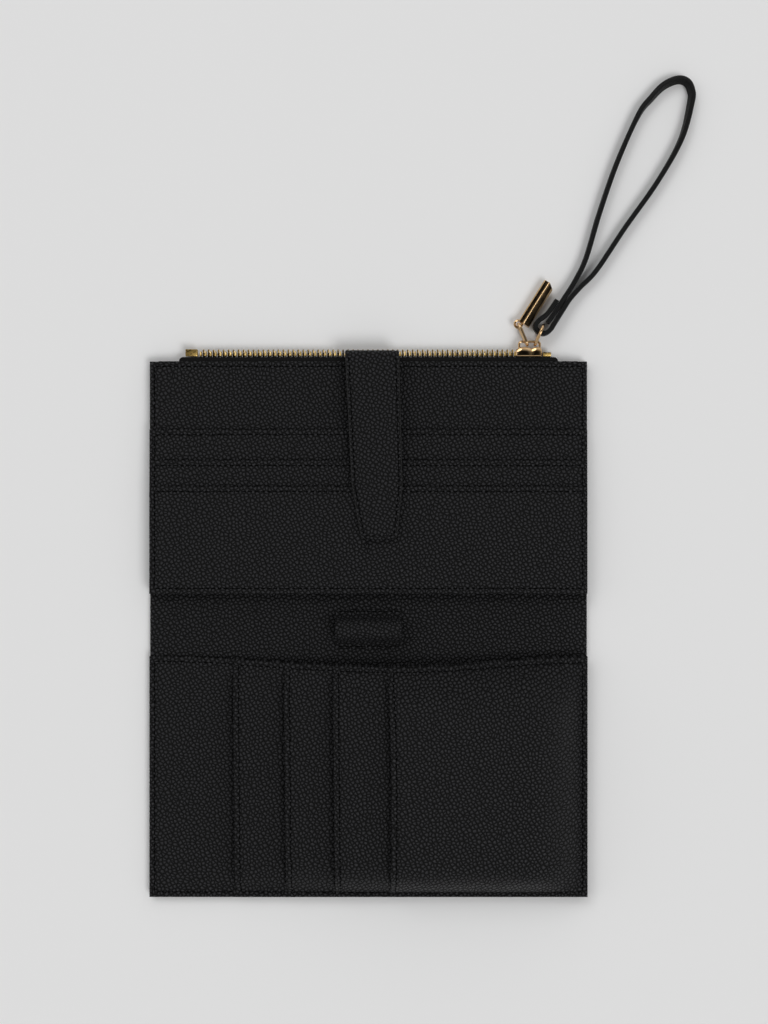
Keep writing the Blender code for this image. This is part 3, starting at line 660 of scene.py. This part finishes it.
def build_pen_loop():
    """A band sewn to the spine on both sides of the pen."""
    centre, centre_z, outer, steps, past = -2.5, 6.8, 5.7, 22, 0.18
    floor = LINING_TOP
    path, travelled = [], 0.0
    raw = [(7.5, floor + 0.7), (6.2, floor + 0.75), (5.0, floor + 1.0), (4.1, floor + 1.7)]
    raw += [(centre + outer * cos(a), centre_z + outer * sin(a)) for a in
            (-past + (pi + 2 * past) * i / steps for i in range(steps + 1))]
    raw += [(-9.1, floor + 1.7), (-10.0, floor + 1.0), (-10.8, floor + 0.75), (-11.8, floor + 0.7)]
    for k, (y, z) in enumerate(raw):
        a, b = raw[max(0, k - 1)], raw[min(len(raw) - 1, k + 1)]
        travelled += hypot(y - a[0], z - a[1]) if k else 0
        direction = atan2(b[1] - a[1], b[0] - a[0])
        path.append((y, z, direction - pi / 2, travelled))
    loop = ribbon("pen_loop_band", path, lambda k: (-16.4, 16.6), lambda k: 0.75, PEBBLED,
                  grooved=False)
    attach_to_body(loop, "spine")
    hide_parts("pen_loop")
    rows = [[(x, y, floor + 0.78) for x, _ in straight((-15.4, 0), (15.6, 0))] for y in (6.6, -10.9)]
    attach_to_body(stitch_row("pen_loop_stitches", rows, pitch=2.9), "spine")


# ------------------------------------------------------------------ upper panel

CARD_PANEL_TOP = 5.9


def card_top(number):
    def height(x, y):
        sides = eased(ramp(HALF_W - abs(x), 3.0, 9.0))
        middle = 0.5 + 0.5 * soft(ramp(abs(x), 0.3, 3.0))
        bottom = soft(ramp(y, FOLD_HIGH + 3.0, FOLD_HIGH + 34.0))
        part = min(sides, middle, bottom)
        return CARD_PANEL_TOP + 0.9 * number + (0.55 * number + 0.6 * ripple(x, y)) * part
    return height


def backing_under(x, y):
    """The card panel's back is level over the pouch, and thick where it is sewn to the cover."""
    side = soft(ramp(HALF_W - abs(x), 4.2, 5.4))
    low = soft(ramp(y, FOLD_HIGH + 2.2, FOLD_HIGH + 3.2))
    floor = 2.2 + 0.9 * (1 - low)
    return floor + (5.3 - floor) * side * low


def build_upper():
    low = FOLD_HIGH + 0.15
    inner = HALF_W - 0.3

    def backing_top(x, y):
        return CARD_PANEL_TOP + 0.2 * ripple(x, y)
    qs = sorted({*stations(low, TOP, 3.0), low + 2.3, low + 2.8, low + 3.2})
    ps = sorted({*stations(-inner, inner, 3.0),
                 *(s * (HALF_W - g) for s in (-1, 1) for g in (4.2, 4.6, 5.0, 5.4))})
    sheet = skin("card_panel", ps, qs, lambda p, q: (p, q), backing_top, backing_under, PEBBLED)
    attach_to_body(sheet, "upper_panel")
    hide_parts("card_backing")
    side, seam_top = inner - SEAM, TOP - SEAM
    runs = [on(lambda x, y: backing_top(x, y) - DIP, run) for run in (
        straight((-side, seam_top), (side, seam_top)),
        straight((-side, CARD_EDGES[0] + 1), (-side, seam_top)),
        straight((side, CARD_EDGES[0] + 1), (side, seam_top)))]
    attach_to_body(stitch_row("card_panel_stitches", runs), "upper_panel")

    for number, edge in enumerate(CARD_EDGES, 1):
        height = card_top(number)
        last = number == len(CARD_EDGES)
        half = HALF_W - 0.4 - 0.1 * number
        ps = sorted({*stations(-half, half, 2.8),
                     *(s * g for s in (-1, 1) for g in (0.3, 0.8, 1.4, 2.2, 3.4))})

        def top(x, y, h=height, centre_seam=last):
            return h(x, y) - (DIP * exp(-(x / 0.55) ** 2) if centre_seam else 0)
        sheet = skin(f"card_slot_wall_{number}", ps, stations(low + 0.1 * number, edge, 2.8),
                     lambda p, q: (p, q), top, lambda x, y, h=height: h(x, y) - SHEET, PEBBLED,
                     (1, 1, last, 1))
        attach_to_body(sheet, "upper_panel")
        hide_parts(f"card_tier_{number}")
        below = 0.6 + (low + SEAM if last else CARD_EDGES[number])
        side, seam_top = half - SEAM, edge - SEAM
        lines = [straight((-side, seam_top), (side, seam_top)), straight((-side, below), (-side, seam_top)),
                 straight((side, below), (side, seam_top))]
        if last:
            lines.append(straight((-side, low + 2.9), (side, low + 2.9)))
            lines.append(straight((0, low + 3.2), (0, seam_top)))
        runs = [on(lambda x, y, h=top: h(x, y) - DIP, run) for run in lines]
        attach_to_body(stitch_row(f"card_slot_stitches_{number}", runs), "upper_panel")


# ------------------------------------------------------------------ zip

# half of a tooth's outline, from its root to its rounded head
# the back row's heads reach past the front row's
TOOTH_FRONT = ((0.52, -3.7), (0.52, -2.6), (0.36, -2.3), (0.38, -1.6), (0.22, -1.2))
TOOTH_BACK = ((0.52, -3.7), (0.52, -2.1), (0.36, -1.6), (0.44, -0.5), (0.24, 0.0))
HEADS_Y = 138.1
BRIGHT_Y = 136.7  # the back row is plain brass past this line, and painted with shade below it, where the front row shades it


def build_zip():
    lean, pitch, half_thick = radians(17), 2.5, 0.72
    rows = (("front", 1, TOOTH_FRONT, 69, -84.0), ("back", -1, TOOTH_BACK, 68, -84.0 + pitch / 2))
    for side, sign, tooth, count, first in rows:
        bm = bmesh.new()
        for x in (first + pitch * i for i in range(count)):
            outline = [(x + a, b) for a, b in tooth] + [(x - a, b) for a, b in reversed(tooth)]
            prism(bm, outline, -half_thick, half_thick)
        bmesh.ops.recalc_face_normals(bm, faces=bm.faces)
        sharp = [e for e in bm.edges if len(e.link_faces) == 2 and e.calc_face_angle(0) > radians(50)
                 and abs((e.verts[0].co - e.verts[1].co).z) < 0.1]
        bmesh.ops.bevel(bm, geom=sharp, offset=0.16, segments=2, profile=0.6, affect="EDGES",
                        clamp_overlap=True)
        for v in bm.verts:
            y, z = v.co.y, v.co.z
            v.co.y = HEADS_Y + y * cos(lean) + sign * z * sin(lean)
            v.co.z = ZIP_Z - sign * y * sin(lean) + z * cos(lean)
        row = bevelled(f"zip_teeth_row_{side}", bm, BRASS, 0.01, 1, 179)
        # the back row's faces below BRIGHT_Y get the painted shade
        if sign < 0:
            row.data.materials.append(SHADED_BRASS)
            for face in row.data.polygons:
                face.material_index = int(face.center.y < BRIGHT_Y * MM)
        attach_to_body(row, "upper_panel")
        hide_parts(f"zip_teeth_{side}")
    for node, x0, x1, y0, y1, z0, z1 in (("zip_bottom_stop", -91.7, -85.7, 134.6, HEADS_Y, 1.9, 5.5),
                                         ("zip_top_stop_front", 87.4, 91.6, 134.5, 136.6, 3.9, 5.4),
                                         ("zip_top_stop_back", 87.4, 91.6, 134.5, 136.6, 2.0, 3.5)):
        bm = bmesh.new()
        prism(bm, [(x0, y0), (x1, y0), (x1, y1), (x0, y1)], z0, z1)
        for v in bm.verts:  # the top face tilts a little
            v.co.z -= (0.09 * (v.co.x - x0) + 0.13 * (y1 - v.co.y)) * (v.co.z > (z0 + z1) / 2)
        piece = bevelled(node + "_clip", bm, BRASS, 0.4, 3, crisp=12)
        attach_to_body(piece, "upper_panel")
        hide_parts(node)


def build_slider():
    """The slider's folded body and its crown."""
    y0, y1, z0, z1, w = 134.6, 139.2, 1.0, 6.4, 0.75
    # along the zip: place, how far the plates dip and how far the outer wall draws in
    shape = ((73.9, 0.9, 1.5), (74.3, 0.5, 1.0), (75.4, 0.15, 0.4), (77.0, 0.0, 0.0), (79.4, 0.0, 0.0),
             (80.8, 0.25, 0.3), (81.8, 0.5, 0.6), (82.6, 0.3, 0.3), (83.8, 0.0, 0.0), (85.6, 0.0, 0.0),
             (86.5, 0.3, 0.4), (86.9, 0.8, 0.9))
    verts, uvs = [], []
    for x, dip, draw in shape:
        top, base, wall = z1 - dip, z0 + dip, y1 - draw
        ring = [(y0, top - w + 0.1), (y0, top - 0.32), (y0 + 0.3, top - 0.08), ((y0 + wall) / 2, top),
                (wall - 1.2, top - 0.12), (wall - 0.35, top - 0.55), (wall, top - 1.3), (wall, base + 1.3),
                (wall - 0.35, base + 0.55), (wall - 1.2, base + 0.12), ((y0 + wall) / 2, base),
                (y0 + 0.5, base + 0.12), (y0, base + 0.45), (y0, base + w - 0.1),
                (wall - 0.9, base + w), (wall - 0.9, top - w)]
        verts += [(x, y, z) for y, z in ring]
        uvs += [(x, y + z) for y, z in ring]
    faces = loft(len(shape), len(ring))
    body = make_object("slider_channel", verts, faces, uvs, GOLD, 24)
    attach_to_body(body, "zip_slider")
    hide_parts("slider_body")
    middle, half, turn, foot = 80.8, 5.2, 1.4, 138.8
    quarter = [pi / 2 * i / 6 for i in range(7)]
    right = [(half - turn + turn * cos(a), 142.0 - turn + turn * sin(a)) for a in quarter]
    outline = [(half, foot), (half, 140.0), *right, *((-x, y) for x, y in reversed(right)), (-half, 140.0),
               (-half, foot)]
    crown = tube("slider_crown", [(middle + x, y, ZIP_Z) for x, y in outline], 0.62, GOLD, False)
    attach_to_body(crown, "zip_slider")


LINKS = {
    "puller_link": dict(near=(79.0, 142.1), aim=(-0.390, 0.921), far=2.6, length=7.0),
    "strap_link": dict(near=(84.3, 142.1), aim=(0.378, 0.926), far=3.6, length=5.2),
}
NEAR, WIRE = 1.9, 0.65  # radius of a link's bend at the crown, and of its wire
LIFT = WIRE + 0.1  # gap and wire under a link's far end, which rests on the table


def link_points(near, aim, far, length):
    """The middle of a link's wire: a small bend round the crown, a large one at its far end."""
    direction = Vector((*aim, 0)).normalized()
    start = Vector((*near, ZIP_Z))
    end = start + direction * length
    end.z = far + LIFT
    axis = (end - start).normalized()
    up = (Vector((0, 0, 1)) - axis * axis.z).normalized()
    spread = asin((far - NEAR) / (end - start).length)
    near_arc = [pi / 2 + spread + (pi - 2 * spread) * i / 20 for i in range(21)]
    far_arc = [-pi / 2 - spread + (pi + 2 * spread) * i / 28 for i in range(29)]
    arcs = ((start, NEAR, near_arc), (end, far, far_arc))
    return [centre + radius * (cos(a) * axis + sin(a) * up) for centre, radius, arc in arcs for a in arc]


def far_wire(link):
    """Where the wire of a link's far end passes through what hangs on it, in plan."""
    direction = Vector(link["aim"]).normalized()
    return Vector(link["near"]) + direction * (link["length"] + link["far"])


def build_hardware():
    for name, link in LINKS.items():
        ring = tube(name + "_ring", link_points(**link), WIRE + 0.08, GOLD, True)
        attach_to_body(ring, name)
        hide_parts(name)

    aim = Vector((0.537, 0.844)).normalized()
    side = Vector((aim.y, -aim.x))
    eye = far_wire(LINKS["puller_link"])
    start = eye + Vector((2.7, -0.1))
    half, low, high, length = 3.1, 0.3, 5.0, 24.4
    bm = bmesh.new()
    # a low roof with a bead along its ridge and one steep side
    section = [(-half, low), (half, low), (half, 2.6), (2.2, 4.2), (0.2, high - 0.58), (-0.05, high - 0.1),
               (-0.3, high), (-0.55, high - 0.1), (-0.8, high - 0.6), (-half + 0.5, 4.25), (-half, 3.6)]
    for v in extrude(bm, [(*(start + side * s), z) for s, z in section]):
        across = (Vector(v.co.xy) - start).dot(side)
        v.co.xy = v.co.xy + aim * (length - 2.2 * ramp(across, 0.0, half))
    bar = bevelled("puller_faceted_bar", bm, GOLD, 0.16, 3, 20, 10)
    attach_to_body(bar, "puller")
    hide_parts("puller_bar")
    middle_z, radius, steps = LINKS["puller_link"]["far"] + LIFT, 1.82, 36
    ring = [(eye.x + radius * cos(a), eye.y + radius * sin(a), middle_z) for a in
            (2 * pi * i / steps for i in range(steps))]
    lug = tube("puller_eye_ring", ring, 0.62, GOLD, True, 12)
    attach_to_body(lug, "puller")


# ------------------------------------------------------------------ wrist strap

STRAP_ROUTE = (
    (89.9, 151.4), (93.6, 156.6), (98.4, 164.1), (103.7, 172.4), (109.3, 183.9),
    (116.1, 206.7), (124.8, 231.7), (135.6, 255.9), (142.3, 264.7), (148.4, 270.8),
    (155.2, 273.8), (159.9, 272.8), (162.2, 268.7), (162.2, 262.7), (157.2, 243.8),
    (145.1, 222.2), (128.9, 199.3), (114.8, 178.2), (106.6, 169.6), (100.9, 163.1),
    (96.7, 156.6), (93.5, 151.5), (91.0, 147.7), (87.9, 146.0), (84.8, 147.3),
    (83.7, 149.8), (85.5, 152.5), (89.3, 155.5), (92.15, 159.1), (94.55, 162.8),
)


STRAP_HIGH, STRAP_LOW = 4.2, 2.4  # middle of the strap at its link, and where it lies


def build_strap():
    """A flat strip on its edge, a little twisted round the end of its loop."""
    link = far_wire(LINKS["strap_link"])
    route = smooth_route([(*p, 0) for p in STRAP_ROUTE], 8)
    arcs, total = [0.0], 0.0
    for a, b in zip(route, route[1:]):
        total += (b - a).length
        arcs.append(total)
    top = max(range(len(route)), key=lambda i: route[i].y)
    # a rounded rectangle: half its height, half its thickness and its corners' radius
    wide, thick, corner = 2.3, 1.22, 0.55
    section = []
    for quarter, (across, up) in enumerate(((1, 1), (-1, 1), (-1, -1), (1, -1))):
        for a in ((quarter + i / 3) * pi / 2 for i in range(4)):
            section.append((across * (thick - corner) + corner * cos(a),
                            up * (wide - corner) + corner * sin(a)))
    verts, uvs = [], []
    around = [0.0]
    for a, b in zip(section, section[1:]):
        around.append(around[-1] + hypot(b[0] - a[0], b[1] - a[1]))
    for i, p in enumerate(route):
        tangent = (route[min(i + 1, len(route) - 1)] - route[max(i - 1, 0)]).normalized()
        side = tangent.cross(Vector((0, 0, 1))).normalized()
        away = (p.xy - link).length
        middle = STRAP_HIGH + (STRAP_LOW - STRAP_HIGH) * ramp(away, 6.0, 30.0)
        twist = radians(24) * exp(-((arcs[i] - arcs[top]) / 26.0) ** 2)
        taper = 0.9 if i in (0, len(route) - 1) else 1.0
        across = side * cos(twist) + Vector((0, 0, 1)) * sin(twist)
        up = Vector((0, 0, 1)) * cos(twist) - side * sin(twist)
        for (s, h), v in zip(section, around):
            point = Vector((p.x, p.y, middle)) + across * (s * taper) + up * (h * taper)
            verts.append((point.x, point.y, max(0.06, point.z)))
            uvs.append((arcs[i], v))
    faces = loft(len(route), len(section))
    strap = make_object("wrist_strap_leather", verts, faces, uvs, SMOOTH, 50)
    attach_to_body(strap, "wrist_strap")
    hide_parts("wrist_strap")


# ------------------------------------------------------------------ closing tab

TAB_HIGH, TAPER_Y = 136.9, 70.0  # the tab's outermost place, and where it starts to narrow


def tab_half(y):
    if y >= TAPER_Y:
        return 12.7 + 0.8 * ramp(y, TAPER_Y, TAB_HIGH)
    return 9.0 + 3.7 * ramp(y, TAB_END, TAPER_Y)


def tab_middle(y):
    return 5.4 + (1.85 - 5.4) * ramp(y, TAB_END, TAB_HIGH)


def tab_edges(y):
    """Left and right edge, with rounded corners at the tip."""
    corner = 2.4
    pull = 0.0
    if y < TAB_END + corner:
        pull = corner - sqrt(max(0.0, corner ** 2 - (corner - (y - TAB_END)) ** 2))
    return tab_middle(y) - tab_half(y) + pull, tab_middle(y) + tab_half(y) - pull


def build_tab():
    """One strip of leather: sewn under the card panel's top edge, turned back, and carried over the cards."""
    cy, cz, outer = 133.85, 9.85, 3.15  # centre and radius of its bend over the zip
    root, split = 112.0, 120.0  # its sewn end, and where the bridge meets the tip

    def attach(item, stage):
        if stage == "neck":
            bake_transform(item)
        elif stage == "bridge":
            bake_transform(item)
        else:
            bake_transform(item)

    rows = [root + (cy - root) * i / 8 for i in range(8)]
    neck = [(y, 6.7, -pi / 2, y - root) for y in rows]
    neck += arc_path(cy, cz, outer, -pi / 2, 0.0, 10, cy - root)
    bridge_start = cy - root + outer * pi / 2
    bridge = arc_path(cy, cz, outer, 0.0, pi / 2, 10, bridge_start)
    flat_start = bridge_start + outer * pi / 2
    rows = [cy - (cy - split) * i / 7 for i in range(1, 8)]
    bridge += [(y, TAB_TOP, pi / 2, flat_start + cy - y) for y in rows]
    rows = [split - (split - TAB_END) * i / 40 for i in range(38)]
    rows = [y for y in rows if y > 46.5] + [46.0, 45.3, 44.6, 44.0, 43.5, 43.15, 42.95, TAB_END]
    tip = [(y, TAB_TOP - edge_drop(y - TAB_END, 1.6), pi / 2, flat_start + cy - y) for y in rows]

    def thick_neck(k):
        return 0.8 + 0.8 * ramp(neck[k][2], -pi / 2, 0.0)

    def thick_bridge(k):
        return 1.6 + 0.8 * ramp(bridge[k][2], 0.0, pi / 2)

    def thick_tip(k):
        return 2.4 - (2.4 - 0.9) * (1 - ramp(tip[k][0], TAB_END, TAB_END + 0.7))

    pieces = (("neck", neck, thick_neck, ("tab_neck", "tab_root")),
              ("bridge", bridge, thick_bridge, ("tab_bridge_face", "tab_bridge_lining")),
              ("tip", tip, thick_tip, ("tab_tip_face", "tab_tip_lining", "tab_magnet")))
    for stage, path, thick, nodes in pieces:
        piece = ribbon(f"tab_{stage}_leather", path, lambda k, p=path: tab_edges(p[k][0]), thick, PEBBLED,
                       painted=True)
        attach(piece, stage)
        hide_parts(*nodes)

    end = TAB_END + TAB_SEAM
    for stage, path in (("bridge", bridge), ("tip", tip)):
        runs = []
        for side, inward in ((0, TAB_SEAM), (1, -TAB_SEAM)):
            run = [(tab_edges(y)[side] + inward, y - 0.08 * cos(angle), z - 0.08 * sin(angle))
                   for y, z, angle, _ in path if y >= end]
            runs.append([p for p in run if p[1] <= cy + 0.1 and p[2] > 10])  # none on the bend
        if stage == "tip":
            left, right = tab_edges(end)
            runs.append([(left + TAB_SEAM, end, TAB_TOP - 0.05), (right - TAB_SEAM, end, TAB_TOP - 0.05)])
        attach(stitch_row(f"tab_stitches_{stage}", runs), stage)


# ------------------------------------------------------------------ CAD nodes that still show

def dress_nodes():
    looks = {"zip_tape_front": (TAPE, "black_fabric"), "zip_tape_back": (TAPE, "black_fabric"),
             "pouch_lining": (TAPE, "black_fabric"), "catch_plate": (STEEL, "plated_steel"),
             "tab_magnet": (STEEL, "plated_steel")}
    for node, (material, slot) in looks.items():
        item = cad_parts[node]
        item.data.materials.clear()
        item.data.materials.append(material)


# ------------------------------------------------------------------ studio

def build_studio():
    material, _, shader, _ = new_material("paper_floor")
    shader.inputs["Base Color"].default_value = grey(240)
    shader.inputs["Roughness"].default_value = 0.9
    shader.inputs["Specular IOR Level"].default_value = 0.1
    mesh = bpy.data.meshes.new("floor")
    half, level = 6, -0.0004  # metres
    corners = ((-1, -1), (1, -1), (1, 1), (-1, 1))
    mesh.from_pydata([(half * x, half * y, level) for x, y in corners], [], [(0, 1, 2, 3)])
    mesh.materials.append(material)
    floor = bpy.data.objects.new("floor", mesh)
    scene.collection.objects.link(floor)

    world = bpy.data.worlds.new("studio")
    scene.world = world
    world.use_nodes = True
    tree = world.node_tree
    background = tree.nodes["Background"]
    background.inputs["Color"].default_value = (1, 1, 1, 1)
    node = node_maker(tree)
    coordinates = node("ShaderNodeTexCoord")
    total = None
    # soft boxes at infinity: direction, inner and outer limit of the direction's cosine, strength
    # the first darkens the world straight above, and the last is a pale band at the horizon
    boxes = (((0, 0, 1), 0.95, 0.62, -0.49), ((0.25, -0.85, 0.45), 0.98, 0.72, 0.4),
             ((-0.80, 0.15, 0.50), 0.98, 0.80, 0.9), ((0.30, 0.85, 0.40), 0.98, 0.60, 0.7),
             ((0, 0, -1), -0.01, -0.16, 0.68))
    for direction, inner, outer, strength in boxes:
        dot = node("ShaderNodeVectorMath", operation="DOT_PRODUCT")
        dot.inputs[1].default_value = Vector(direction).normalized()
        tree.links.new(coordinates.outputs["Generated"], dot.inputs[0])
        add = node("ShaderNodeMath", operation="ADD")
        add.inputs[1].default_value = 0.5  # the world's own brightness, under the boxes
        tree.links.new(remap(tree, node, dot.outputs["Value"], outer, inner, 0.0, strength), add.inputs[0])
        if total is not None:
            tree.links.new(total, add.inputs[1])
        total = add.outputs[0]
    scale = node("ShaderNodeMath", operation="MULTIPLY")
    scale.inputs[1].default_value = STUDIO_LEVEL
    tree.links.new(total, scale.inputs[0])
    tree.links.new(scale.outputs[0], background.inputs["Strength"])

    for name, energy, spread, direction in (("key", 1.85, 30, (-0.48, 0.54, -0.95)),
                                            ("fill", 1.0, 30, (0.45, -0.72, -0.90))):
        sun = bpy.data.lights.new(name, "SUN")
        sun.energy = energy * STUDIO_LEVEL
        sun.angle = radians(spread)
        item = bpy.data.objects.new(name, sun)
        item.rotation_mode = "QUATERNION"
        item.rotation_quaternion = Vector(direction).to_track_quat("-Z", "Y")
        scene.collection.objects.link(item)

    camera = bpy.data.cameras.new("camera")
    camera.lens = 36 * 700 / 516.9
    camera.sensor_width = 36
    camera.clip_start, camera.clip_end = 0.01, 50
    item = bpy.data.objects.new("camera", camera)
    item.location = (7.8 * MM, 56.5 * MM, 0.700)
    scene.collection.objects.link(item)
    scene.camera = item
    scene.view_settings.view_transform = "Standard"
    scene.view_settings.look = "None"
    scene.view_settings.exposure = 0
    scene.view_settings.gamma = 1


build_lower()
build_cover()
build_pen_loop()
build_upper()
build_zip()
build_slider()
build_hardware()
build_strap()
build_tab()
dress_nodes()
build_studio()
